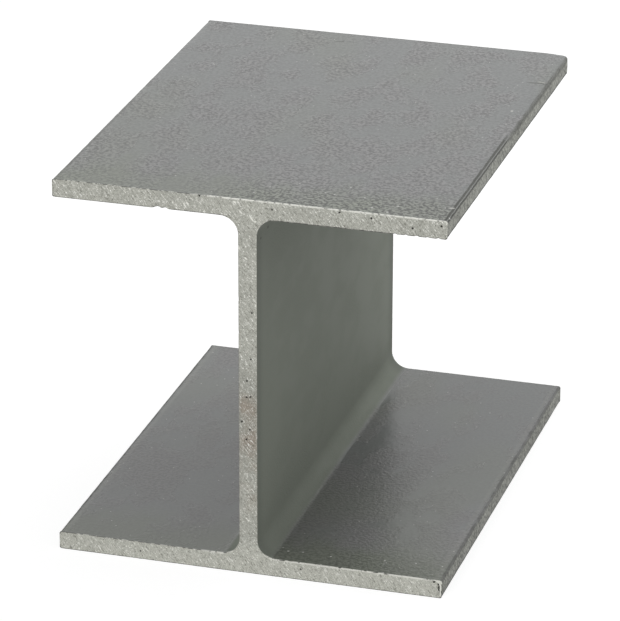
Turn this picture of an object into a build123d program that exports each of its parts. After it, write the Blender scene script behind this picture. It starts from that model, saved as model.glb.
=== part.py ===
"""Pultruded fibreglass wide-flange beam: a short sawn length of the 8 inch section.

The beam stands on its lower flange. X runs across the flanges, Y along the beam and Z up.
The origin is the middle of the underside. All lengths are in millimetres.
"""

import os

from build123d import *

# The section, an 8 x 8 x 3/8 inch wide-flange profile.
SECTION_DEPTH = 203.2
FLANGE_WIDTH = 203.2
FLANGE_THICKNESS = 9.525
WEB_THICKNESS = 9.525

# The die's large fillets where the web meets the flanges, and its small ones along the flange tips.
ROOT_RADIUS = 9.5
TIP_RADIUS = 1.6

# The length that was sawn off the stock.
SAWN_LENGTH = 256.0

# One corner of the upper flange was knocked round after sawing.
KNOCKED_CORNER_RADIUS = 4.0


def right_half():
    """The right half of the section, with sharp corners, from the underside up to the top."""
    tip = FLANGE_WIDTH / 2
    web_face = WEB_THICKNESS / 2
    upper_flange_underside = SECTION_DEPTH - FLANGE_THICKNESS
    return [
        (tip, 0),
        (tip, FLANGE_THICKNESS),
        (web_face, FLANGE_THICKNESS),
        (web_face, upper_flange_underside),
        (tip, upper_flange_underside),
        (tip, SECTION_DEPTH),
    ]


def corners_at(face, distance):
    """The corners of the section that lie this far to either side of its middle."""
    return [corner for corner in face.vertices() if abs(abs(corner.X) - distance) < 1e-6]


def beam_section():
    """The section that comes out of the die: the outline of both halves with its fillets."""
    right = right_half()
    left = [(-x, z) for x, z in reversed(right)]
    section = make_face(Polyline(*right, *left, close=True))
    section = fillet(corners_at(section, WEB_THICKNESS / 2), ROOT_RADIUS)
    return fillet(corners_at(section, FLANGE_WIDTH / 2), TIP_RADIUS)


def sawn_length():
    """The section drawn out along Y and sawn square at both ends."""
    far_end = Plane(origin=(0, SAWN_LENGTH / 2, 0), x_dir=(1, 0, 0), z_dir=(0, -1, 0))
    return extrude(far_end * beam_section(), amount=SAWN_LENGTH)


def corner_waste():
    """What is missing round the knocked corner: all that lies outside its arc."""
    radius = KNOCKED_CORNER_RADIUS
    height = FLANGE_THICKNESS + radius
    arc_centre = Pos(
        FLANGE_WIDTH / 2 - radius,
        SAWN_LENGTH / 2 - radius,
        SECTION_DEPTH - FLANGE_THICKNESS / 2,
    )
    outside = Box(2 * radius, 2 * radius, height, align=(Align.MIN, Align.MIN, Align.CENTER))
    return arc_centre * (outside - Cylinder(radius, height))


def main():
    os.makedirs("parts", exist_ok=True)
    beam = sawn_length() - corner_waste()
    export_step(beam, "parts/wide_flange_beam.step")
    print("volume in litres", round(beam.volume / 1e6, 4))


main()
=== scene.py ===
# %% [markdown]
# # A sawn length of fibreglass beam
# The real object is a pultruded wide-flange beam: glass rovings, mat and a surface veil are pulled
# through a hot die with grey resin, and a saw cuts the stock to length. So it has two kinds of
# surface. The die leaves smooth, slightly glossy faces with a faint mottled grain, and the saw leaves
# pale, rough ends that show the cut glass. This file models that one piece around the fixed frame of
# its CAD solid.

# %% The frame
import math

import bmesh
import bpy
from mathutils import Euler, Matrix, Vector
from mathutils.kdtree import KDTree


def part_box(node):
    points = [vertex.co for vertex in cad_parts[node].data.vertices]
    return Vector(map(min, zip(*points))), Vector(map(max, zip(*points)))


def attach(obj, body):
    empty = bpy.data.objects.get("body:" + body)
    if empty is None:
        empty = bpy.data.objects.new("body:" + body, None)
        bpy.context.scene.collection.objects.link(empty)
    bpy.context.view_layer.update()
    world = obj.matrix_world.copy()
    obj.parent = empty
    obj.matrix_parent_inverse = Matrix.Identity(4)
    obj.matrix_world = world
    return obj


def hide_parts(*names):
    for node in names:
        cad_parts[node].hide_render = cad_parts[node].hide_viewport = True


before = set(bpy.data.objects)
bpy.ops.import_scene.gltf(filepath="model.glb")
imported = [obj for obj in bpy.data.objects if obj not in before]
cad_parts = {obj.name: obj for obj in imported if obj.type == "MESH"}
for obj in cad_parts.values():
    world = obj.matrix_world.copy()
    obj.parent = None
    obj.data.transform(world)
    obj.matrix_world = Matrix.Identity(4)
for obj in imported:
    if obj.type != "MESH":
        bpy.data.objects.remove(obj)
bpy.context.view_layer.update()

NODE = "wide_flange_beam"
low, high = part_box(NODE)

# %% [markdown]
# ## Sizes
# The overall width, length and depth come from the frame, so the piece can't drift away from the solid.
# The wall thickness and the fillets are the section's own values. Everything is in metres, and MM
# turns a size in millimetres, which is how such a section is specified, into metres. NEAR is how far
# apart two points may be and still count as being in the same place.

# %% The sizes of the section
MM = 0.001
width = high.x - low.x
length = high.y - low.y
depth = high.z - low.z
WALL = 9.525 * MM
ROOT_RADIUS = 9.5 * MM
TIP_RADIUS = 1.1 * MM
KNOCKED_RADIUS = 4.0 * MM
BURR_HEIGHT = 0.25 * MM
NEAR = 0.01 * MM

flange_tip = width / 2
web_face = WALL / 2
sawn_end = length / 2 - BURR_HEIGHT
upper_flange = depth - WALL
print("width", round(width, 4), "length", round(length, 4), "depth", round(depth, 4))

# %% [markdown]
# ## Picking faces and edges by their place
# An operator works on whatever is selected, so each step first picks exactly the faces or edges that it
# means. By hand that is a click; here it is a test on where they lie. Both helpers clear the old
# selection, because a new primitive and the loaded frame are selected all over. A face counts as
# facing an axis when its normal's share along it is above FACING.

# %% Selection helpers
FACING = 0.9


def edit_mesh():
    return bmesh.from_edit_mesh(bpy.context.object.data)


def pick_faces(test):
    """Selects the faces whose middle and normal pass the test, and says how many there are."""
    bpy.ops.mesh.select_all(action="DESELECT")
    chosen = [face for face in edit_mesh().faces if test(face.calc_center_median(), face.normal)]
    for face in chosen:
        face.select_set(True)
    bmesh.update_edit_mesh(bpy.context.object.data)
    return len(chosen)


def pick_edges(test):
    """Selects the edges whose two ends pass the test, and says how many there are."""
    bpy.ops.mesh.select_all(action="DESELECT")
    chosen = [edge for edge in edit_mesh().edges if test(edge.verts[0].co, edge.verts[1].co)]
    for edge in chosen:
        edge.select_set(True)
    bmesh.update_edit_mesh(bpy.context.object.data)
    return len(chosen)


# %% [markdown]
# ## The web and its flanges
# A beam could be drawn as an outline and extruded. Here it grows the way it stands: a block as thick as
# the web is cut level with the flanges, and the bands of its side faces are pulled out to the tips. The
# leftover edges in the flat faces are then dissolved, which gives one clean outline at each end.

# %% Block, bands and flanges
FLAT_ANGLE = math.radians(1)

bpy.ops.object.select_all(action="DESELECT")
bpy.ops.mesh.primitive_cube_add(
    size=1,
    location=(0, 0, depth / 2),
    scale=(WALL, 2 * sawn_end, depth),
)
beam = bpy.context.object
beam.name = "beam"
bpy.ops.object.transform_apply(location=True, rotation=True, scale=True)
bpy.ops.object.mode_set(mode="EDIT")

for level in (WALL, upper_flange):
    bpy.ops.mesh.select_all(action="SELECT")
    bpy.ops.mesh.bisect(plane_co=(0, 0, level), plane_no=(0, 0, 1))


def in_flange_band(middle):
    return middle.z < WALL or middle.z > upper_flange


for side in (-1, 1):
    pick_faces(lambda middle, normal: normal.x * side > FACING and in_flange_band(middle))
    reach = side * (flange_tip - web_face)
    bpy.ops.mesh.extrude_region_move(TRANSFORM_OT_translate={"value": (reach, 0, 0)})

bpy.ops.mesh.select_all(action="SELECT")
bpy.ops.mesh.dissolve_limited(angle_limit=FLAT_ANGLE)
print("faces of the sharp section", len(edit_mesh().faces))

# %% [markdown]
# ## The die's fillets
# Where the web meets a flange the die has a large radius, and along the flange tips a small one. Both
# are bevels with enough segments to look round. The roots come first, then the one corner of the upper
# flange that was knocked round, and the tips last, so that their small radius runs round that corner.

# %% Roots, knocked corner and tips
ROOT_SEGMENTS = 10
TIP_SEGMENTS = 4
CORNER_SEGMENTS = 6


def runs_along(a, b):
    return abs(a.y - b.y) > length / 2


def at_tip(point):
    return abs(point.x) > flange_tip - NEAR


roots = pick_edges(lambda a, b: runs_along(a, b) and abs(abs(a.x) - web_face) < NEAR)
bpy.ops.mesh.bevel(offset=ROOT_RADIUS, segments=ROOT_SEGMENTS, affect="EDGES")


def at_knocked_corner(point):
    on_upper_tip = point.x > flange_tip - NEAR and point.z > upper_flange - NEAR
    return on_upper_tip and point.y > sawn_end - NEAR


corners = pick_edges(lambda a, b: at_knocked_corner(a) and at_knocked_corner(b))
bpy.ops.mesh.bevel(offset=KNOCKED_RADIUS, segments=CORNER_SEGMENTS, affect="EDGES")


def round_the_corner(point):
    """True on the knocked corner's arc and where it meets the tip's straight edge."""
    past_tip = point.x - (flange_tip - KNOCKED_RADIUS)
    past_end = point.y - (sawn_end - KNOCKED_RADIUS)
    return min(past_tip, past_end) > -NEAR and point.z > upper_flange - NEAR


def on_tip_outline(a, b):
    if abs(a.z - b.z) > NEAR:
        return False
    if at_tip(a) and at_tip(b):
        return a.x * b.x > 0
    on_end_face = min(a.y, b.y) > sawn_end - NEAR
    return round_the_corner(a) and round_the_corner(b) and not on_end_face


tips = pick_edges(on_tip_outline)
bpy.ops.mesh.bevel(offset=TIP_RADIUS, segments=TIP_SEGMENTS, affect="EDGES")
print("roots", roots, "knocked corners", corners, "tip edges", tips)

# %% [markdown]
# ## A mesh fine enough to carry relief
# Flat faces can't show a saw's strokes or the slight wander of a die. Bisecting the whole beam at even
# steps gives the moulded faces a coarse grid, and two rings close to each end keep the ragged rim from
# disturbing it. Only the sawn faces then get a fine net, made by subdividing their triangles.

# %% Grid, rings and the fine net of the sawn ends
GRID = 5 * MM
RINGS = (0.6 * MM, 2.0 * MM)
SAWN_CUTS = 8


def even_steps(start, end):
    count = round((end - start) / GRID)
    return [start + (end - start) * i / count for i in range(1, count)]


def cut_at(places, axis):
    """Bisects the whole piece at each place along an axis, given as a unit vector."""
    for place in places:
        bpy.ops.mesh.select_all(action="SELECT")
        bpy.ops.mesh.bisect(plane_co=axis * place, plane_no=axis)


ring_places = [side * (sawn_end - ring) for side in (-1, 1) for ring in RINGS]
cut_at(even_steps(-sawn_end, sawn_end) + ring_places, Vector((0, 1, 0)))
cut_at(even_steps(-flange_tip, flange_tip), Vector((1, 0, 0)))
cut_at(even_steps(0, depth), Vector((0, 0, 1)))


def is_sawn(middle, normal):
    return abs(normal.y) > FACING and abs(middle.y) > sawn_end - NEAR


def into_triangles():
    bpy.ops.mesh.quads_convert_to_tris(quad_method="BEAUTY", ngon_method="BEAUTY")


sawn_faces = pick_faces(is_sawn)
into_triangles()
bpy.ops.mesh.subdivide(number_cuts=SAWN_CUTS)
print("coarse sawn faces", sawn_faces, "faces in all", len(edit_mesh().faces))

# %% [markdown]
# ## Finer strips where the skin is torn
# Two narrow places on the moulded skin need as fine a net as the saw's: the ring right behind each
# sawn rim, where the skin chips, and the eight rounded arrises of the flange tips, which are worn. Only
# the edges that run along such a strip are cut, so the strip gets short cells and nothing else does.
# An edge that is shorter than LONG_RUN already belongs to the rings by the rim.

# %% Rim rings and arrises
ARRIS_CUTS = 4
LONG_RUN = 2 * MM


def from_skin(z):
    """How deep a height lies below the nearer outer face of its flange."""
    return WALL / 2 - min(abs(z - WALL / 2), abs(z - depth + WALL / 2))


def on_arris(point):
    past_flat = abs(point.x) > flange_tip - TIP_RADIUS - NEAR
    return past_flat and -NEAR < from_skin(point.z) < TIP_RADIUS + NEAR


def on_inner_ring(a, b):
    return max(abs(abs(point.y) - sawn_end + RINGS[0]) for point in (a, b)) < NEAR


def along_arris(a, b):
    flat_run = abs(a.x - b.x) < NEAR and abs(a.z - b.z) < NEAR
    return flat_run and on_arris(a) and on_arris(b) and abs(a.y - b.y) > LONG_RUN


ring_edges = pick_edges(on_inner_ring)
bpy.ops.mesh.subdivide(number_cuts=SAWN_CUTS)
arris_edges = pick_edges(along_arris)
bpy.ops.mesh.subdivide(number_cuts=ARRIS_CUTS)
pick_faces(lambda middle, normal: not is_sawn(middle, normal))
into_triangles()
print("ring edges", ring_edges, "arris edges", arris_edges, "faces in all", len(edit_mesh().faces))
bpy.ops.object.mode_set(mode="OBJECT")

# %% [markdown]
# ## Two surfaces on one piece
# The sawn faces are marked now, while they are still flat, by a second material slot. The slot is how
# the two finishes find their faces later, and the vertex groups tell the relief below where the saw has
# been, where the skin ends and where the arrises are.

# %% Material slots and vertex groups
moulded = bpy.data.materials.new("moulded_fibreglass")
sawn = bpy.data.materials.new("sawn_fibreglass")
beam.data.materials.append(moulded)
beam.data.materials.append(sawn)
SAWN_SLOT = 1

sawn_points = set()
moulded_points = set()
for face in beam.data.polygons:
    if is_sawn(face.center, face.normal):
        face.material_index = SAWN_SLOT
        sawn_points.update(face.vertices)
    else:
        moulded_points.update(face.vertices)
rim_points = sawn_points & moulded_points
spots = [point.co.copy() for point in beam.data.vertices]


def mark(name, points):
    group = beam.vertex_groups.new(name=name)
    group.add(list(points), 1.0, "REPLACE")
    print(name, len(points), "points")


mark("sawn", sawn_points - rim_points)
mark("moulded", moulded_points - rim_points)
mark("near_rim", {i for i in rim_points if spots[i].y < 0})
mark("far_rim", {i for i in rim_points if spots[i].y > 0})
mark("arrises", {i for i in moulded_points - rim_points if on_arris(spots[i])})

# %% [markdown]
# ## How far from the rim
# The finishes have to know how near the sawn rim a point is, because the skin is crushed white there.
# A point attribute stores that distance, found once with a lookup tree of all the rim's points, and it
# goes with the mesh, so the pattern follows the real outline round every fillet.

# %% The distance attribute
FARTHEST = 90 * MM

rim_tree = KDTree(len(rim_points))
for i in rim_points:
    rim_tree.insert(spots[i], i)
rim_tree.balance()
rim_distance = beam.data.attributes.new("from_rim", "FLOAT", "POINT")
for i, spot in enumerate(spots):
    rim_distance.data[i].value = min(rim_tree.find(spot)[2], FARTHEST)
print("rim points", len(rim_points))

# %% [markdown]
# ## Relief from the saw and the die
# Displace modifiers push a surface in by a procedural texture. A midlevel of 1 means that they only
# take material away, so the piece never grows past its solid. The saw's strokes are long and thin, so
# that texture is read through an empty that is turned and stretched; the die's wander is broad and low.

# %% Displace helpers
def guide_for(name, turn, blotch):
    """An empty whose axes turn and stretch a texture; blotch is the size of one blotch along each."""
    bpy.ops.object.empty_add(location=(0, 0, 0), rotation=turn)
    guide = bpy.context.object
    guide.name = name
    guide.scale = blotch
    bpy.context.view_layer.update()
    return guide


def displace(name, group, strength, turn, blotch, along="NORMAL", midlevel=1.0):
    """Moves a vertex group of the beam by clouds of this blotch size, and applies the modifier."""
    guide = guide_for(name + "_guide", turn, blotch)
    texture = bpy.data.textures.new(name, "CLOUDS")
    texture.noise_scale = 1.0
    modifier = beam.modifiers.new(name, "DISPLACE")
    modifier.texture = texture
    modifier.vertex_group = group
    modifier.mid_level = midlevel
    modifier.strength = strength
    modifier.direction = along
    modifier.texture_coords = "OBJECT"
    modifier.texture_coords_object = guide
    bpy.context.view_layer.objects.active = beam
    bpy.ops.object.modifier_apply(modifier=name)
    bpy.data.objects.remove(guide)


# %% [markdown]
# ## The six reliefs
# On the sawn faces, slanting strokes carry finer crumbs. Along each rim the saw pushed a burr outwards,
# and there the midlevel is low, so that the points move out by up to BURR_REACH. The arrises are rubbed
# in short dents, and the die left the long faces a few hundredths of a millimetre out of flat.

# %% Strokes, crumbs, burrs, wear and wander
STROKE_TURN = (0, math.radians(-38), 0)
UNTURNED = (0, 0, 0)
STROKE_BLOTCH = (1.2 * MM, 20 * MM, 7 * MM)
CRUMB_BLOTCH = (1.1 * MM, 1.1 * MM, 1.1 * MM)
BURR_BLOTCH = (2.2 * MM, 2.2 * MM, 2.2 * MM)
WEAR_BLOTCH = (1.2 * MM, 7 * MM, 1.2 * MM)
WANDER_BLOTCH = (45 * MM, 70 * MM, 45 * MM)
STROKE_DEPTH = 0.22 * MM
CRUMB_DEPTH = 0.20 * MM
BURR_REACH = 0.30 * MM
BURR_MIDLEVEL = 0.2
WEAR_DEPTH = 0.22 * MM
WANDER_DEPTH = 0.06 * MM

displace("saw_strokes", "sawn", STROKE_DEPTH, STROKE_TURN, STROKE_BLOTCH)
displace("saw_crumbs", "sawn", CRUMB_DEPTH, UNTURNED, CRUMB_BLOTCH)
displace("near_burr", "near_rim", -BURR_REACH, UNTURNED, BURR_BLOTCH, "Y", BURR_MIDLEVEL)
displace("far_burr", "far_rim", BURR_REACH, UNTURNED, BURR_BLOTCH, "Y", BURR_MIDLEVEL)
displace("arris_wear", "arrises", WEAR_DEPTH, UNTURNED, WEAR_BLOTCH)
displace("die_wander", "moulded", WANDER_DEPTH, UNTURNED, WANDER_BLOTCH)
print("relief done, the deepest", STROKE_DEPTH)

# %% [markdown]
# ## Pits, chips and the frayed corner
# A saw tears single bundles of glass out and chips the rim. Each such hole is made as by hand: the
# nearest point is picked and moved with proportional editing, which takes its neighbours along. A pit
# is a place on the near sawn face in millimetres, as x and z. A chip adds the way it is pushed and how
# far round it the push reaches.

# %% Holes torn by the saw
PIT_DEPTH = 0.9 * MM
PIT_REACH = 1.0 * MM
PITS = (
    (-24.8, 202.4), (46.9, 201.6), (63.1, 200.3), (98.4, 200.1), (-0.9, 97.1), (1.1, 97.6),
    (-1.0, 74.0), (0.8, 79.5), (-3.4, 83.5), (1.4, 118.0), (-0.6, 106.0), (2.0, 143.0),
    (12.5, 199.2), (84.0, 197.5), (-58.0, 4.1), (27.5, 5.6), (97.2, 8.3), (99.6, 7.4),
    (99.9, 6.3), (99.8, 5.2), (99.9, 4.1), (100.1, 3.0),
)
CHIPS = (
    ((-46.5, 193.7), (0.0, 0.9, 0.7), 3.0),
    ((-42.5, 193.7), (0.0, 0.7, 0.5), 2.4),
    ((75.0, 193.7), (0.0, 0.5, 0.2), 1.3),
    ((80.5, 193.7), (0.0, 0.4, 0.3), 1.0),
    ((86.0, 193.7), (0.0, 0.6, 0.2), 1.4),
    ((91.5, 193.7), (0.0, 0.4, 0.3), 0.9),
    ((97.0, 193.7), (0.0, 0.5, 0.3), 1.2),
    ((-12.0, 203.2), (0.0, 0.5, -0.3), 1.3),
    ((-4.8, 150.0), (0.0, 0.5, 0.0), 2.0),
    ((-4.8, 132.0), (0.0, 0.4, 0.0), 1.6),
    ((98.0, 8.6), (0.0, 1.0, -0.3), 1.5),
    ((101.6, 6.5), (-0.7, 1.1, 0.0), 1.8),
    ((101.6, 2.5), (-0.9, 1.4, 0.3), 2.4),
    ((99.5, 5.0), (0.0, 1.0, 0.0), 1.1),
)
torn_spots = []


def tear(near_point, push, reach):
    """Moves the point that is nearest to a place, and its neighbours with it."""
    bpy.ops.mesh.select_all(action="DESELECT")
    mesh = edit_mesh()
    chosen = min(mesh.verts, key=lambda point: (point.co - near_point).length_squared)
    chosen.select_set(True)
    bmesh.update_edit_mesh(bpy.context.object.data)
    bpy.ops.transform.translate(
        value=push,
        use_proportional_edit=True,
        proportional_edit_falloff="SMOOTH",
        proportional_size=reach,
    )


bpy.ops.object.select_all(action="DESELECT")
beam.select_set(True)
bpy.context.view_layer.objects.active = beam
bpy.ops.object.mode_set(mode="EDIT")
for x, z in PITS:
    hole = Vector((x * MM, -sawn_end, z * MM))
    tear(hole, (0, PIT_DEPTH, 0), PIT_REACH)
    torn_spots.append(hole)
for (x, z), push, reach in CHIPS:
    tear(Vector((x * MM, -sawn_end, z * MM)), Vector(push) * MM, reach * MM)
bpy.ops.object.mode_set(mode="OBJECT")
print("pits", len(PITS), "chips", len(CHIPS))

# %% [markdown]
# ## Where it is torn
# A pit is dark because hardly any light comes back out of it. The finish can't see a hole, so a second
# attribute says how close each point lies to a pit's middle, from 1 there down to 0.

# %% The torn attribute
TORN_REACH = 0.9 * MM

torn_tree = KDTree(len(torn_spots))
for i, spot in enumerate(torn_spots):
    torn_tree.insert(spot, i)
torn_tree.balance()
torn = beam.data.attributes.new("torn", "FLOAT", "POINT")
for i, spot in enumerate(spots):
    torn.data[i].value = max(0.0, 1 - torn_tree.find(spot)[2] / TORN_REACH)
print("torn points", sum(point.value > 0 for point in torn.data))

# %% [markdown]
# ## Strands that still hang on
# At the near right corner of the lower flange a bundle of glass was pulled loose and curls over the
# cut, and crushed beads of it cling along the rim beside it. Each strand is a path with a round bevel,
# half sunk into the sawn face. Converted to a mesh and joined, it's one piece with the beam again. The
# table gives five points of each, as x and z, and half its thickness, in millimetres.

# %% Loose strands
STRAND_DEPTH = sawn_end - 0.08 * MM
STRANDS = (
    (((98.6, 9.0), (99.9, 9.1), (100.9, 8.2), (101.1, 6.4), (100.8, 4.6)), 0.45),
    (((100.9, 4.8), (100.5, 3.9), (100.9, 2.9), (101.2, 2.2), (100.6, 1.3)), 0.34),
    (((96.6, 7.2), (98.2, 6.6), (99.0, 5.4), (99.4, 4.0), (100.2, 3.2)), 0.16),
    (((89.0, 9.1), (91.0, 9.3), (93.0, 8.9), (95.0, 9.2), (96.6, 9.1)), 0.26),
    (((76.0, 9.2), (78.0, 9.0), (80.5, 9.3), (83.0, 9.0), (85.0, 9.2)), 0.24),
    (((60.0, 9.2), (63.0, 9.3), (66.0, 9.0), (69.0, 9.3), (71.5, 9.1)), 0.20),
)


def strand(path, half_thickness):
    """A round strand through five points of the near sawn face, as a closed mesh of its own."""
    bpy.ops.curve.primitive_nurbs_path_add(location=(0, 0, 0))
    curve = bpy.context.object
    for point, (x, z) in zip(curve.data.splines[0].points, path):
        point.co = (x * MM, -STRAND_DEPTH, z * MM, 1)
    curve.data.resolution_u = 6
    curve.data.bevel_depth = half_thickness * MM
    curve.data.bevel_resolution = 2
    curve.data.use_fill_caps = True
    bpy.ops.object.convert(target="MESH")
    bpy.ops.object.mode_set(mode="EDIT")
    bpy.ops.mesh.select_all(action="SELECT")
    bpy.ops.mesh.remove_doubles(threshold=NEAR)
    bpy.ops.mesh.normals_make_consistent(inside=False)
    bpy.ops.object.mode_set(mode="OBJECT")
    return bpy.context.object


loose = [strand(path, half_thickness) for path, half_thickness in STRANDS]
for piece in loose:
    piece.data.materials.append(sawn)
    crushed = piece.data.attributes.new("crushed", "FLOAT", "POINT")
    crushed.data.foreach_set("value", [1.0] * len(piece.data.vertices))
    far_off = piece.data.attributes.new("from_rim", "FLOAT", "POINT")
    far_off.data.foreach_set("value", [FARTHEST] * len(piece.data.vertices))
    piece.select_set(True)
beam.select_set(True)
bpy.context.view_layer.objects.active = beam
bpy.ops.object.join()
print("strands", len(loose), "points in all", len(beam.data.vertices))

# %% [markdown]
# ## Nothing past the stock's outline
# The relief follows each point's normal, which is uncertain on the tiny faces at the rim, so a point
# can end up a few hundredths of a millimetre outside the stock. Every point is brought back into the
# solid's box.

# %% Back into the box
brought_back = 0
for point in beam.data.vertices:
    inside = Vector(min(max(value, least), most) for value, least, most in zip(point.co, low, high))
    if (inside - point.co).length > 0:
        brought_back += 1
        point.co = inside
print("points brought back", brought_back)

# %% [markdown]
# ## Finishes as Python expressions
# A material is a small program. Wrapping each socket in a class with overloaded operators lets the
# program be written as one: `mask * 0.3 + 0.5` adds its own Math nodes.

# %% The socket class
class Wire:
    """A node's output that Python's operators can work on."""

    def __init__(self, sheet, socket):
        self.sheet = sheet
        self.socket = socket

    def out(self, name):
        """Another output of the same node."""
        return Wire(self.sheet, self.socket.node.outputs[name])

    def __add__(self, other):
        return self.sheet.math("ADD", self, other)

    def __sub__(self, other):
        return self.sheet.math("SUBTRACT", self, other)

    def __mul__(self, other):
        return self.sheet.math("MULTIPLY", self, other)

    def __rsub__(self, other):
        return self.sheet.math("SUBTRACT", other, self)

    __radd__ = __add__
    __rmul__ = __mul__

    def __abs__(self):
        return self.sheet.math("ABSOLUTE", self)


# %% [markdown]
# ## A sheet to write the nodes on
# Every node comes from one method, which applies the settings first, because they decide which sockets
# a node has. The other methods are short wordings for what the finishes need again and again: soft
# steps, lines, noise, and one colour going over into another. EDGE is the share of a line's half width
# over which it fades out.

# %% The sheet of nodes
EDGE = 0.45


class Sheet:
    """A material's node tree, filled through node() and the small wordings built on it."""

    def __init__(self, owner):
        owner.use_nodes = True
        self.tree = owner.node_tree
        self.tree.nodes.clear()

    def node(self, kind, settings=None, inputs=None):
        made = self.tree.nodes.new(kind)
        for name, value in (settings or {}).items():
            setattr(made, name, value)
        for name, value in (inputs or {}).items():
            usable = [socket for socket in made.inputs if socket.enabled]
            named = [socket for socket in usable if socket.name == name]
            target = usable[name] if isinstance(name, int) else named[0]
            if isinstance(value, Wire):
                self.tree.links.new(value.socket, target)
            elif target.type == "RGBA":
                target.default_value = (*value, 1.0)
            else:
                target.default_value = value
        outputs = [socket for socket in made.outputs if socket.enabled]
        return Wire(self, outputs[0]) if outputs else None

    def math(self, operation, *values):
        return self.node("ShaderNodeMath", {"operation": operation}, dict(enumerate(values)))

    def larger(self, first, second):
        return self.math("MAXIMUM", first, second)

    def rise(self, value, start, end):
        """0 below start, 1 above end, smooth between."""
        settings = {"interpolation_type": "SMOOTHSTEP", "clamp": True}
        limits = {"From Min": start, "From Max": end, "To Min": 0.0, "To Max": 1.0}
        return self.node("ShaderNodeMapRange", settings, {"Value": value, **limits})

    def fall(self, value, start, end):
        """1 below start, 0 above end, smooth between."""
        return 1 - self.rise(value, start, end)

    def above(self, value, level):
        """1 above a level and 0 below it."""
        return self.rise(value, level - NEAR, level + NEAR)

    def line(self, value, middle, half):
        """1 on a line of this half width where the value is near the middle, 0 away from it."""
        return self.fall(abs(value - middle), (1 - EDGE) * half, (1 + EDGE) * half)

    def place(self):
        """The piece's own coordinates, in metres."""
        return self.node("ShaderNodeTexCoord").out("Object")

    def axes(self, vector):
        split = self.node("ShaderNodeSeparateXYZ", {}, {"Vector": vector})
        return split.out("X"), split.out("Y"), split.out("Z")

    def attribute(self, name):
        """A number stored on the mesh's points."""
        settings = {"attribute_type": "GEOMETRY", "attribute_name": name}
        return self.node("ShaderNodeAttribute", settings).out("Fac")

    def stretched(self, vector, stretch, turn=(0, 0, 0), middle=(0, 0, 0)):
        """The vector seen in a moved and turned frame whose axes are stretched by these factors."""
        settings = {"vector_type": "TEXTURE"}
        inputs = {"Vector": vector, "Location": middle, "Rotation": turn, "Scale": stretch}
        return self.node("ShaderNodeMapping", settings, inputs)

    def clouds(self, vector, size, detail=2.0, roughness=0.5):
        """Noise round 0.5 whose blotches are about this size in metres."""
        settings = {"noise_dimensions": "3D", "normalize": True}
        inputs = {"Vector": vector, "Scale": 1 / size, "Detail": detail, "Roughness": roughness}
        return self.node("ShaderNodeTexNoise", settings, inputs)

    def grains(self, vector, size):
        """Distance to the nearest of many scattered grains, 0 at a grain."""
        settings = {"voronoi_dimensions": "3D", "feature": "F1"}
        return self.node("ShaderNodeTexVoronoi", settings, {"Vector": vector, "Scale": 1 / size})

    def blend(self, factor, first, second):
        """One colour going over into another."""
        settings = {"data_type": "RGBA", "blend_type": "MIX", "clamp_factor": True}
        return self.node("ShaderNodeMix", settings, {"Factor": factor, "A": first, "B": second})

    def brighten(self, colour, amount):
        """A colour times a number, channel by channel."""
        inputs = {"Vector": colour, "Scale": amount}
        return self.node("ShaderNodeVectorMath", {"operation": "SCALE"}, inputs)

    def bump(self, height, distance, strength):
        """The surface's normal, tilted by a height."""
        inputs = {"Height": height, "Distance": distance, "Strength": strength}
        return self.node("ShaderNodeBump", {}, inputs)

    def surface(self, shader):
        self.node("ShaderNodeOutputMaterial", {}, {"Surface": shader})


print("shader tools ready")

# %% [markdown]
# ## Marks that both finishes share
# The rim belongs to both surfaces. Crushed glass shows as a broken white line along the upward edges
# of the near end, and soot with painted shadow shows as a dark line along the edges that face down. On
# the left of the near end the skin held better, so the white stays thin there and dark dashes take
# over.
# Both are drawn from the stored distance, so the skin's side and the sawn side of the line meet.

# %% Rim marks
CRUSHED = (0.78, 0.78, 0.72)
SOOT_AND_SHADE = (0.055, 0.056, 0.050)
WIDE_RIM = (0.45 * MM, 0.95 * MM)
THIN_RIM = (0.15 * MM, 0.45 * MM)
UP_EDGE = 1.6 * MM
DOWN_EDGE = 1.2 * MM
UPPER_DOWN_EDGE = 1.0 * MM
BREAK_SIZE = 2.6 * MM
HELD_FROM = (-34 * MM, -16 * MM)
HELD_SHARE = 0.10


def rim_marks(sheet, place):
    """Masks of the white line and of the dark line, soot and painted shadow, along the sawn rims."""
    x, y, z = sheet.axes(place)
    from_rim = sheet.attribute("from_rim")
    wide = sheet.fall(from_rim, *WIDE_RIM)
    thin = sheet.fall(from_rim, *THIN_RIM)
    faces_up = sheet.larger(sheet.line(z, depth, UP_EDGE), sheet.line(z, WALL, UP_EDGE))
    faces_down = sheet.larger(
        sheet.line(z, 0, DOWN_EDGE),
        sheet.line(z, upper_flange, UPPER_DOWN_EDGE),
    )
    broken = sheet.clouds(place, BREAK_SIZE, detail=3, roughness=0.6)
    skin_held = sheet.fall(x, *HELD_FROM)
    broken_here = broken - HELD_SHARE * skin_held
    far_end = sheet.above(y, 0)
    white_reach = sheet.larger(wide * (1 - skin_held), thin * 0.55)
    white = white_reach * faces_up * (1 - far_end) * sheet.rise(broken_here, 0.38, 0.50)
    # Along the edges that face down, the dark line is painted shadow.
    shade_under_edges = faces_down * (0.5 + 0.5 * sheet.rise(broken, 0.42, 0.60))
    dashes = faces_up * sheet.larger(sheet.fall(broken_here, 0.38, 0.46), far_end * 0.7)
    return white, thin * sheet.larger(shade_under_edges, dashes)


# %% [markdown]
# ## The moulded finish
# The die gives a thin skin of grey resin over a veil of glass. Where resin is rich it is smooth and a
# little bluish, and where the veil lies close under the skin it is warmer and grainy, like fine orange
# peel. Towards the near end the skin turns greener, and on its right half coarser too. Three noises
# make that: broad clouds, patches of veil, and the grain itself.

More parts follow.
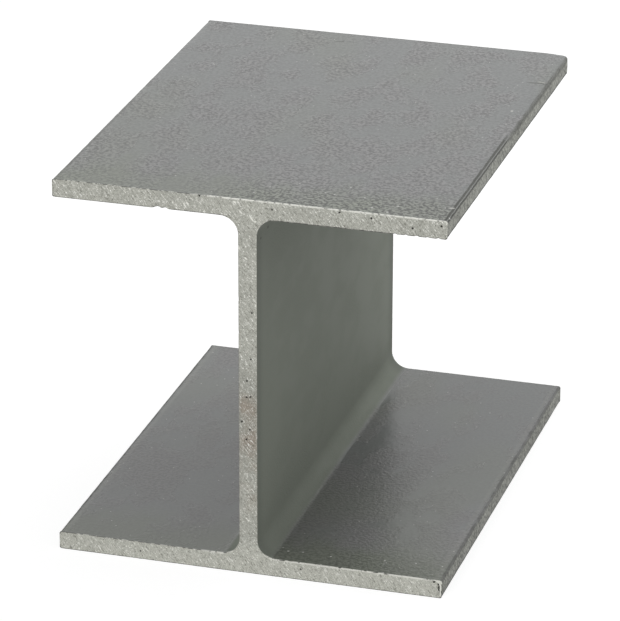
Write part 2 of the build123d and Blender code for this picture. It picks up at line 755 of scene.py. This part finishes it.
# %% Skin of the flanges
RESIN = (0.143, 0.150, 0.147)
VEIL = (0.146, 0.145, 0.144)
GREEN_RESIN = (0.140, 0.151, 0.124)
DRAWN = (1.0, 1.8, 1.0)
COMBED = (1.8, 1.8, 1.0)
BROAD_SIZE = 55 * MM
PATCH_SIZE = 17 * MM
GRAIN_SIZE = 0.95 * MM
END_REACH = (6 * MM, 42 * MM)
END_SWAY = 60 * MM
COARSE_FROM = (-30 * MM, 20 * MM)
COARSE_SWAY = 80 * MM
NEARER = (-80 * MM, 80 * MM)


def skin(sheet, place):
    """Colour and grain of the bare skin, and the shares of veil and of coarse skin."""
    x, y, z = sheet.axes(place)
    drawn = sheet.stretched(place, DRAWN)
    patches = sheet.clouds(drawn, PATCH_SIZE, detail=3, roughness=0.55)
    broad = sheet.clouds(drawn, BROAD_SIZE, detail=1)
    combed = sheet.stretched(place, COMBED)
    grain = sheet.rise(sheet.clouds(combed, GRAIN_SIZE, detail=1, roughness=0.6), 0.38, 0.62)
    swaying = sheet.attribute("from_rim") + (patches - 0.5) * END_SWAY
    to_end = sheet.fall(swaying, *END_REACH) * (1 - sheet.above(y, 0))
    coarse = to_end * sheet.rise(x + (broad - 0.5) * COARSE_SWAY, *COARSE_FROM)
    veil = sheet.rise(patches + 0.06 * sheet.fall(y, *NEARER), 0.42, 0.64)
    veil = sheet.larger(veil * (1 - 0.3 * to_end), coarse)

    colour = sheet.blend(veil, RESIN, VEIL)
    greener = to_end * 0.8 + sheet.rise(broad, 0.5, 0.7) * 0.4
    colour = sheet.blend(greener, colour, GREEN_RESIN)
    upper = sheet.above(z, depth / 2)
    contrast = (0.25 + 0.58 * veil + 0.45 * coarse) * (0.35 + 0.65 * upper)
    level = 1.00 + 0.06 * broad - 0.05 * to_end - 0.10 * coarse
    colour = sheet.brighten(colour, level + (grain - 0.5) * contrast)
    return colour, grain, veil, coarse


print("skin colours", RESIN, VEIL, GREEN_RESIN)

# %% [markdown]
# ## The duller web
# The web was polished less than the flanges, so it is duller and greener, down to the foot of its
# fillets. It needs no noise of its own, only a mask of where it is.

# %% Web
WEB_TONE = (0.176, 0.193, 0.160)
FILLET_FOOT = (web_face + 5.5 * MM, web_face + 8.8 * MM)


def web_share(sheet, place):
    """1 on the web and its fillets, 0 on the flanges, going over at the foot of each fillet."""
    x, y, z = sheet.axes(place)
    between_flanges = sheet.above(z, WALL) * (1 - sheet.above(z, upper_flange))
    return sheet.fall(abs(x), *FILLET_FOOT) * between_flanges


print("fillets end between", FILLET_FOOT)

# %% [markdown]
# ## The worn and shaded arrises
# Where a flange's face turns over its tip, the skin has come off, and the round turns from the light,
# so the dark lines there are partly wear and partly painted shade. On the near half of the upper
# flange's right side that gives two dark lines with a paler ridge between, and on its far half one
# broad band. Its left side, which faces the key lamp, is darkened far less. On the lower flange it is a
# single soft band with a pale line inside it. The tip's own face shows strands that the die dragged
# aslant, and its bottom edge gets a line of painted shade. All lines follow one measure, `down`, that
# runs over the arris and down the tip, and each is given as the middle and half width along it.

# %% Arris lines and tip faces
WEAR_AND_SHADE = (0.042, 0.044, 0.036)
RIDGE = (0.092, 0.095, 0.081)
TIP_TONE = (0.270, 0.275, 0.242)
INNER_LINE = (-0.3 * MM, 0.78 * MM)
OUTER_LINE = (1.7 * MM, 0.66 * MM)
RIDGE_LINE = (0.7 * MM, 0.55 * MM)
FAR_BAND = (1.8 * MM, 1.8 * MM)
SOFT_BAND = (0.8 * MM, 1.1 * MM)
PALE_LINE = (-2.2 * MM, 1.0 * MM)
SHADED_BOTTOM_EDGE = (WALL - 1.0 * MM, WALL - 0.4 * MM)
LINE_START = (-1.8 * MM, -1.2 * MM)
TIP_START = (0.5 * TIP_RADIUS, 0.9 * TIP_RADIUS)
FAR_HALF_START = (-12 * MM, 2 * MM)
WANDER_SIZE = 7 * MM
LINE_SWAY = 1.3 * MM
HALF_SWAY = 26 * MM
STRAND_SIZE = 1.0 * MM
ALONG_TIP = (9, 1, 9)
DRAGGED = (1, 1, 2.5)
DRAG_TURN = (math.radians(36), 0, 0)


def arris_lines(sheet, place, colour):
    """Lays the tip's face and the lines of wear and painted shade over the skin's colour, and masks
    what is dull.
    """
    x, y, z = sheet.axes(place)
    upper = sheet.above(z, depth / 2)
    along = sheet.stretched(place, ALONG_TIP)
    wander = sheet.clouds(along, WANDER_SIZE, detail=4, roughness=0.65) - 0.5
    past_flat = abs(x) - (flange_tip - TIP_RADIUS)
    below_face = WALL + upper * upper_flange - z
    down = past_flat + below_face + wander * LINE_SWAY

    dragged = sheet.stretched(place, DRAGGED, DRAG_TURN)
    strands = sheet.clouds(dragged, STRAND_SIZE, detail=3, roughness=0.7)
    tip = sheet.rise(past_flat, *TIP_START)
    level = 0.74 + 0.23 * upper - 0.08 * upper * sheet.above(y, 0)
    colour = sheet.blend(tip, colour, sheet.brighten(TIP_TONE, level + (strands - 0.5) * 4.2))
    colour = sheet.blend(sheet.line(down, *PALE_LINE) * (1 - upper) * 0.16, colour, TIP_TONE)
    near_tip = sheet.rise(past_flat, *LINE_START)
    colour = sheet.blend(sheet.line(down, *RIDGE_LINE) * near_tip * upper * 0.8, colour, RIDGE)

    far_half = sheet.rise(y + wander * HALF_SWAY, *FAR_HALF_START)
    two_lines = sheet.larger(sheet.line(down, *INNER_LINE), sheet.line(down, *OUTER_LINE))
    one_band = sheet.line(down, *FAR_BAND) * (0.65 + 0.8 * wander)
    upper_wear_and_shade = sheet.larger(two_lines * (1 - far_half), one_band * far_half) * upper
    # The right side, turned away from the key lamp, takes the full darkening and the left only a
    # quarter: painted shade together with wear.
    right_side_weight = 0.25 + 0.75 * sheet.above(x, 0)
    lower_wear_and_shade = sheet.line(down, *SOFT_BAND) * (1 - upper) * (0.66 + wander)
    # The tip's bottom edge is darkened as painted shade, under the upper flange and where the lower one
    # meets the floor.
    bottom_shade = sheet.rise(down, *SHADED_BOTTOM_EDGE) * 0.95
    wear_and_shade = sheet.larger(sheet.larger(upper_wear_and_shade * right_side_weight, lower_wear_and_shade), bottom_shade) * near_tip
    return sheet.blend(wear_and_shade, colour, WEAR_AND_SHADE), sheet.larger(wear_and_shade, tip)


print("measure down the tip ends at", TIP_RADIUS + WALL)

# %% [markdown]
# ## Scratches and dots
# A few single marks make the skin look handled. Each is a stroke with tapered ends: the place is read
# in a frame that sits on the stroke's middle, is turned along it and is stretched by its half sizes, so
# that the stroke is wherever that frame's vector is shorter than 1. A row gives the middle in
# millimetres, the turn in degrees, the half sizes in millimetres and the colour.

# %% Strokes
PALE = (0.46, 0.46, 0.43)
STROKE_FADE = (0.6, 1.1)
STROKE_COVER = 0.9
TOP = depth / MM
TIP = flange_tip / MM
WEB = web_face / MM
SKIN_STROKES = (
    ((-21.0, 114.6, TOP), (0, 0, 0), (0.7, 1.3, 1.0), WEAR_AND_SHADE),
    ((-23.2, 114.0, TOP), (0, 0, 16), (2.6, 0.6, 1.0), WEAR_AND_SHADE),
    ((-88.6, 24.1, TOP), (0, 0, 20), (2.0, 0.8, 1.0), WEAR_AND_SHADE),
    ((97.4, 81.6, TOP), (0, 0, -6), (2.6, 0.9, 1.0), TIP_TONE),
    ((95.4, 79.6, TOP), (0, 0, 3), (6.4, 1.0, 1.0), WEAR_AND_SHADE),
    ((93.3, 33.9, TOP), (0, 0, 0), (0.8, 1.2, 1.0), PALE),
    ((99.0, -109.5, TOP), (0, 0, 20), (1.8, 1.0, 1.0), PALE),
    ((TIP, -49.2, 198.0), (-70, 0, 0), (1.0, 4.0, 0.5), PALE),
    ((TIP, -50.4, 197.6), (-70, 0, 0), (1.0, 3.8, 0.5), WEAR_AND_SHADE),
    ((WEB, -108.6, 182.2), (0, 0, 0), (1.0, 0.9, 0.8), WEAR_AND_SHADE),
    ((WEB, -120.5, 180.8), (0, 0, 0), (1.0, 0.8, 0.8), WEAR_AND_SHADE),
)


def strokes(sheet, place, colour, table):
    """Lays every stroke of a table over a colour."""
    for middle, turn, half_sizes, tone in table:
        spot = tuple(value * MM for value in middle)
        sizes = tuple(value * MM for value in half_sizes)
        angles = tuple(math.radians(angle) for angle in turn)
        framed = sheet.stretched(place, sizes, angles, spot)
        reach = sheet.node("ShaderNodeVectorMath", {"operation": "LENGTH"}, {"Vector": framed})
        colour = sheet.blend(sheet.fall(reach, *STROKE_FADE) * STROKE_COVER, colour, tone)
    return colour


print("strokes on the skin", len(SKIN_STROKES))

# %% [markdown]
# ## The moulded material
# The layers are stacked as they came to be: skin, web, the arrises' wear and painted shade, the rim's
# marks, painted glints and single scratches. The resin is glossy, and the arris lines and tip faces,
# the grainy skin and the web are duller. The bump is fine: orange peel all over, the grain of the veil,
# and ripples across the coarse skin.

# %% The moulded material
PAINTED_GLINT = (0.50, 0.50, 0.48)
GLINT_SPACING = 6 * MM
GLINT_EDGE = (0.04, 0.07)
SOOTY_REACH = (1 * MM, 13 * MM)
PEEL_SIZE = 2.2 * MM
RIPPLE_SIZE = 1.3 * MM
ACROSS = (5, 1, 1)
SKIN_BUMP = 0.12 * MM
SKIN_ROUGHNESS = 0.23
DULLER_WEB = 0.50
DULLER_VEIL = 0.08
DULLER_WORN = 0.36
RESIN_IOR = 1.5


def moulded_finish(material):
    sheet = Sheet(material)
    place = sheet.place()
    colour, grain, veil, coarse = skin(sheet, place)
    web = web_share(sheet, place)
    sooty_end = 1.0 - 0.22 * sheet.fall(sheet.attribute("from_rim"), *SOOTY_REACH)
    colour = sheet.blend(web, colour, sheet.brighten(WEB_TONE, sooty_end))

    colour, dull = arris_lines(sheet, place, colour)
    white, dark = rim_marks(sheet, place)
    colour = sheet.blend(white, colour, CRUSHED)
    # The dark rim line is soot, with painted shadow under the edges that face down.
    colour = sheet.blend(dark, colour, SOOT_AND_SHADE)
    # Small pale spots away from the web are painted glints, standing in for the gloss catching the
    # light.
    glints = sheet.grains(place, GLINT_SPACING) - 0.05 * coarse
    painted_glints = sheet.fall(glints, *GLINT_EDGE) * (1 - web)
    colour = strokes(sheet, place, sheet.blend(painted_glints, colour, PAINTED_GLINT), SKIN_STROKES)

    peel = sheet.clouds(place, PEEL_SIZE, detail=1) * (0.3 + 0.7 * veil) * (1 - web)
    ripples = sheet.clouds(sheet.stretched(place, ACROSS), RIPPLE_SIZE, detail=2) * coarse
    height = peel + grain * 0.5 * veil + ripples * 1.2
    duller = DULLER_WEB * web + DULLER_VEIL * veil + DULLER_WORN * dull
    shader = sheet.node(
        "ShaderNodeBsdfPrincipled",
        {},
        {
            "Base Color": colour,
            "Roughness": SKIN_ROUGHNESS + duller,
            "Normal": sheet.bump(height, SKIN_BUMP, 0.8),
            "IOR": RESIN_IOR,
        },
    )
    sheet.surface(shader)
    return len(sheet.tree.nodes)


print("nodes in the moulded finish", moulded_finish(moulded))

# %% [markdown]
# ## The sawn finish
# A saw opens the laminate: chopped glass shows as pale flecks in a warm, slightly green resin, pulled
# into slanting strokes by the blade, with dark pits where a bundle tore out. The web's middle is a
# little darker and has a brown stain. The lower flange's cut is painted paler, as painted light from
# the floor's bounce. The finish lays all that over the relief that is already in the mesh, from the
# broad tones to the single bright strokes.

# %% Sawn fibreglass
CUT_RESIN = (0.43, 0.432, 0.385)
CUT_GLASS = (0.88, 0.88, 0.83)
CUT_DEEP = (0.15, 0.15, 0.125)
PIT = (0.015, 0.015, 0.012)
STAIN = (0.33, 0.29, 0.24)
STREAK_LENGTH = (1, 1, 7)
STREAK_SIZE = 0.42 * MM
CRUMB_SIZE = 0.60 * MM
BLOTCH_SIZE = 12 * MM
STAIN_LINE = (72 * MM, 32 * MM)
STAIN_SIDES = (3 * MM, 6 * MM)
WEB_MIDDLE = (85 * MM, 28 * MM)
GLASS_RANGE = (0.54, 0.66)
DEEP_RANGE = (0.36, 0.46)
TORN_RANGE = (0.25, 0.6)
SAWN_BUMP = 0.25 * MM
SAWN_ROUGHNESS = 0.75
END = sawn_end / MM
SAWN_STROKES = (
    ((-32.4, -END, 196.6), (0, 59, 0), (2.0, 1.0, 0.45), CRUSHED),
    ((-31.0, -END, 197.6), (0, 55, 0), (1.5, 1.0, 0.45), CRUSHED),
    ((-45.8, -END, 197.4), (0, 10, 0), (0.8, 1.0, 0.5), CRUSHED),
    ((-38.6, -END, 197.4), (0, 70, 0), (0.8, 1.0, 0.5), CRUSHED),
    ((-3.5, -END, 196.2), (0, 48, 0), (1.6, 1.0, 0.5), CRUSHED),
    ((2.0, -END, 193.6), (0, 57, 0), (2.6, 1.0, 0.55), CRUSHED),
    ((-6.6, -END, 201.2), (0, 20, 0), (1.1, 1.0, 0.7), CRUSHED),
    ((4.0, -END, 192.0), (0, 0, 0), (0.7, 1.0, 0.6), CRUSHED),
    ((-4.5, -END, 177.5), (0, 80, 0), (1.6, 1.0, 0.4), CRUSHED),
    ((-1.0, -END, 172.0), (0, 40, 0), (1.0, 1.0, 0.6), CRUSHED),
    ((-100.2, -END, 201.6), (0, 40, 0), (1.2, 1.0, 0.4), CRUSHED),
)


def sawn_finish(material):
    sheet = Sheet(material)
    place = sheet.place()
    x, y, z = sheet.axes(place)
    slanted = sheet.stretched(place, STREAK_LENGTH, STROKE_TURN)
    streaks = sheet.clouds(slanted, STREAK_SIZE, detail=2, roughness=0.6)
    crumbs = sheet.clouds(place, CRUMB_SIZE, detail=2, roughness=0.7)
    blotches = sheet.clouds(place, BLOTCH_SIZE, detail=2)
    mixed = streaks * 0.55 + crumbs * 0.45

    stained = sheet.line(z, *STAIN_LINE) * sheet.fall(abs(x), *STAIN_SIDES)
    colour = sheet.blend(stained * sheet.rise(blotches, 0.3, 0.7), CUT_RESIN, STAIN)
    # The lower flange's cut is painted paler: painted light from the floor's bounce.
    painted_bounce = sheet.fall(z, WALL, 2 * WALL)
    level = 0.83 + 0.17 * painted_bounce - 0.11 * sheet.line(z, *WEB_MIDDLE)
    colour = sheet.brighten(colour, level + 0.24 * blotches + (crumbs - 0.5) * 0.75)
    colour = sheet.blend(sheet.rise(mixed, *GLASS_RANGE), colour, CUT_GLASS)
    colour = sheet.blend(sheet.fall(mixed, *DEEP_RANGE) * 0.8, colour, CUT_DEEP)
    white, dark = rim_marks(sheet, place)
    colour = sheet.blend(white, colour, CRUSHED)
    # The dark rim line is soot, with painted shadow under the edges that face down.
    colour = sheet.blend(dark, colour, SOOT_AND_SHADE)
    colour = strokes(sheet, place, colour, SAWN_STROKES)
    colour = sheet.blend(sheet.attribute("crushed") * 0.8, colour, CRUSHED)
    colour = sheet.blend(sheet.rise(sheet.attribute("torn"), *TORN_RANGE), colour, PIT)
    shader = sheet.node(
        "ShaderNodeBsdfPrincipled",
        {},
        {
            "Base Color": colour,
            "Roughness": SAWN_ROUGHNESS,
            "Normal": sheet.bump(mixed, SAWN_BUMP, 0.7),
            "IOR": RESIN_IOR,
            "Specular IOR Level": 0.3,
        },
    )
    sheet.surface(shader)
    return len(sheet.tree.nodes)


print("nodes in the sawn finish", sawn_finish(sawn))

# %% [markdown]
# ## Smooth shading and the frame
# The fillets should read as round and the sawn rim as sharp, so shading is smooth up to an angle. Then
# the piece takes over from its CAD node: it rides on the same body and hides the plain solid.

# %% Shading, body and node
SMOOTH_ANGLE = math.radians(35)

bpy.ops.object.select_all(action="DESELECT")
beam.select_set(True)
bpy.context.view_layer.objects.active = beam
bpy.ops.object.shade_smooth_by_angle(angle=SMOOTH_ANGLE)
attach(beam, "root")
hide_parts(NODE)
beam.data.calc_loop_triangles()
print("triangles", len(beam.data.loop_triangles))

# %% [markdown]
# ## Floor and world
# The beam stands on white, with no edge between floor and backdrop. The floor mixes its own shaded
# surface with a plain white for the rays that the camera and gloss send, so the shadow stays faint but
# real. The world is plain white to those rays too, and a dimmer white for all the light it sheds.

# %% Floor and world
FLOOR_SIZE = 12.0
FLOOR_COLOUR = (0.85, 0.85, 0.85)
WHITE = (1, 1, 1)
GLOW = 1.3
SHADOW_SHARE = 0.40
AMBIENT = 0.55


def seen_directly(sheet):
    """1 for rays from the camera, from gloss or through glass, which should meet plain white."""
    path = sheet.node("ShaderNodeLightPath")
    through = path.out("Is Transmission Ray")
    return sheet.larger(sheet.larger(path.out("Is Camera Ray"), path.out("Is Glossy Ray")), through)


bpy.ops.mesh.primitive_plane_add(size=FLOOR_SIZE, location=(0, 0, 0))
floor = bpy.context.object
floor.name = "floor"
floor_paint = bpy.data.materials.new("floor_paint")
sheet = Sheet(floor_paint)
shaded = sheet.node("ShaderNodeBsdfDiffuse", {}, {"Color": FLOOR_COLOUR})
glow = sheet.node("ShaderNodeEmission", {}, {"Color": WHITE, "Strength": GLOW})
mixed = sheet.node(
    "ShaderNodeMixShader",
    {},
    {0: seen_directly(sheet) * (1 - SHADOW_SHARE), 1: shaded, 2: glow},
)
sheet.surface(mixed)
floor.data.materials.append(floor_paint)

world = bpy.data.worlds.new("studio")
bpy.context.scene.world = world
sheet = Sheet(world)
strength = AMBIENT + (1 - AMBIENT) * seen_directly(sheet)
background = sheet.node("ShaderNodeBackground", {}, {"Color": WHITE, "Strength": strength})
sheet.node("ShaderNodeOutputWorld", {}, {"Surface": background})
print("ambient light", AMBIENT)

# %% [markdown]
# ## Lamps
# Product photographs are lit with large soft boxes. A broad one from the upper left front gives the
# form, and a low one in front brings out the sawn end. Two weak ones behind lift the far part of the
# upper flange and its right tip. A row gives name, place, aim, size in metres and power in watts.

# %% Lamps
LAMPS = (
    ("key_lamp", (-1.3, -1.6, 1.9), (0, 0, 0.1), 1.6, 13.5),
    ("front_lamp", (-0.5, -2.3, 0.7), (0, -0.1, 0.1), 1.2, 12),
    ("back_lamp", (0.3, 0.6, 0.95), (0, 0.05, 0.2), 0.6, 3.8),
    ("far_lamp", (0.9, 2.1, 0.8), (0, 0.1, 0.1), 1.2, 3.2),
)

for name, lamp_place, aim, size, power in LAMPS:
    bpy.ops.object.light_add(type="AREA", location=lamp_place)
    lamp = bpy.context.object
    lamp.name = name
    lamp.data.size = size
    lamp.data.energy = power
    shining = Vector(aim) - Vector(lamp_place)
    lamp.rotation_euler = shining.to_track_quat("-Z", "Y").to_euler()
print("lamps", len(LAMPS), "power in watts", sum(row[-1] for row in LAMPS))

# %% [markdown]
# ## Camera
# A photograph of a straight-edged object gives its camera away: the directions of its edges fix the
# angles and the focal length, and its corners fix the place. The focal length was found in pixels, so
# the lens follows from the picture's longer side, which is its height, and the sensor's width.

# %% Camera
SENSOR_WIDTH = 36
IMAGE_HEIGHT = 621
FOCAL_PIXELS = 4330.1
CAMERA_PLACE = (0.59001, -2.01993, 0.96729)
AZIMUTH = math.radians(16.425)
ELEVATION = math.radians(22.547)
ROLL = math.radians(0.143)

camera_data = bpy.data.cameras.new("camera")
camera = bpy.data.objects.new("camera", camera_data)
bpy.context.scene.collection.objects.link(camera)
camera_data.sensor_width = SENSOR_WIDTH
camera_data.lens = FOCAL_PIXELS / IMAGE_HEIGHT * SENSOR_WIDTH
aimed = Euler((math.pi / 2 - ELEVATION, 0, AZIMUTH)).to_matrix()
camera.rotation_euler = (aimed @ Matrix.Rotation(ROLL, 3, "Z")).to_euler()
camera.location = CAMERA_PLACE
bpy.context.scene.camera = camera
bpy.context.scene.view_settings.view_transform = "Standard"
print("focal length in mm", round(camera_data.lens, 2))
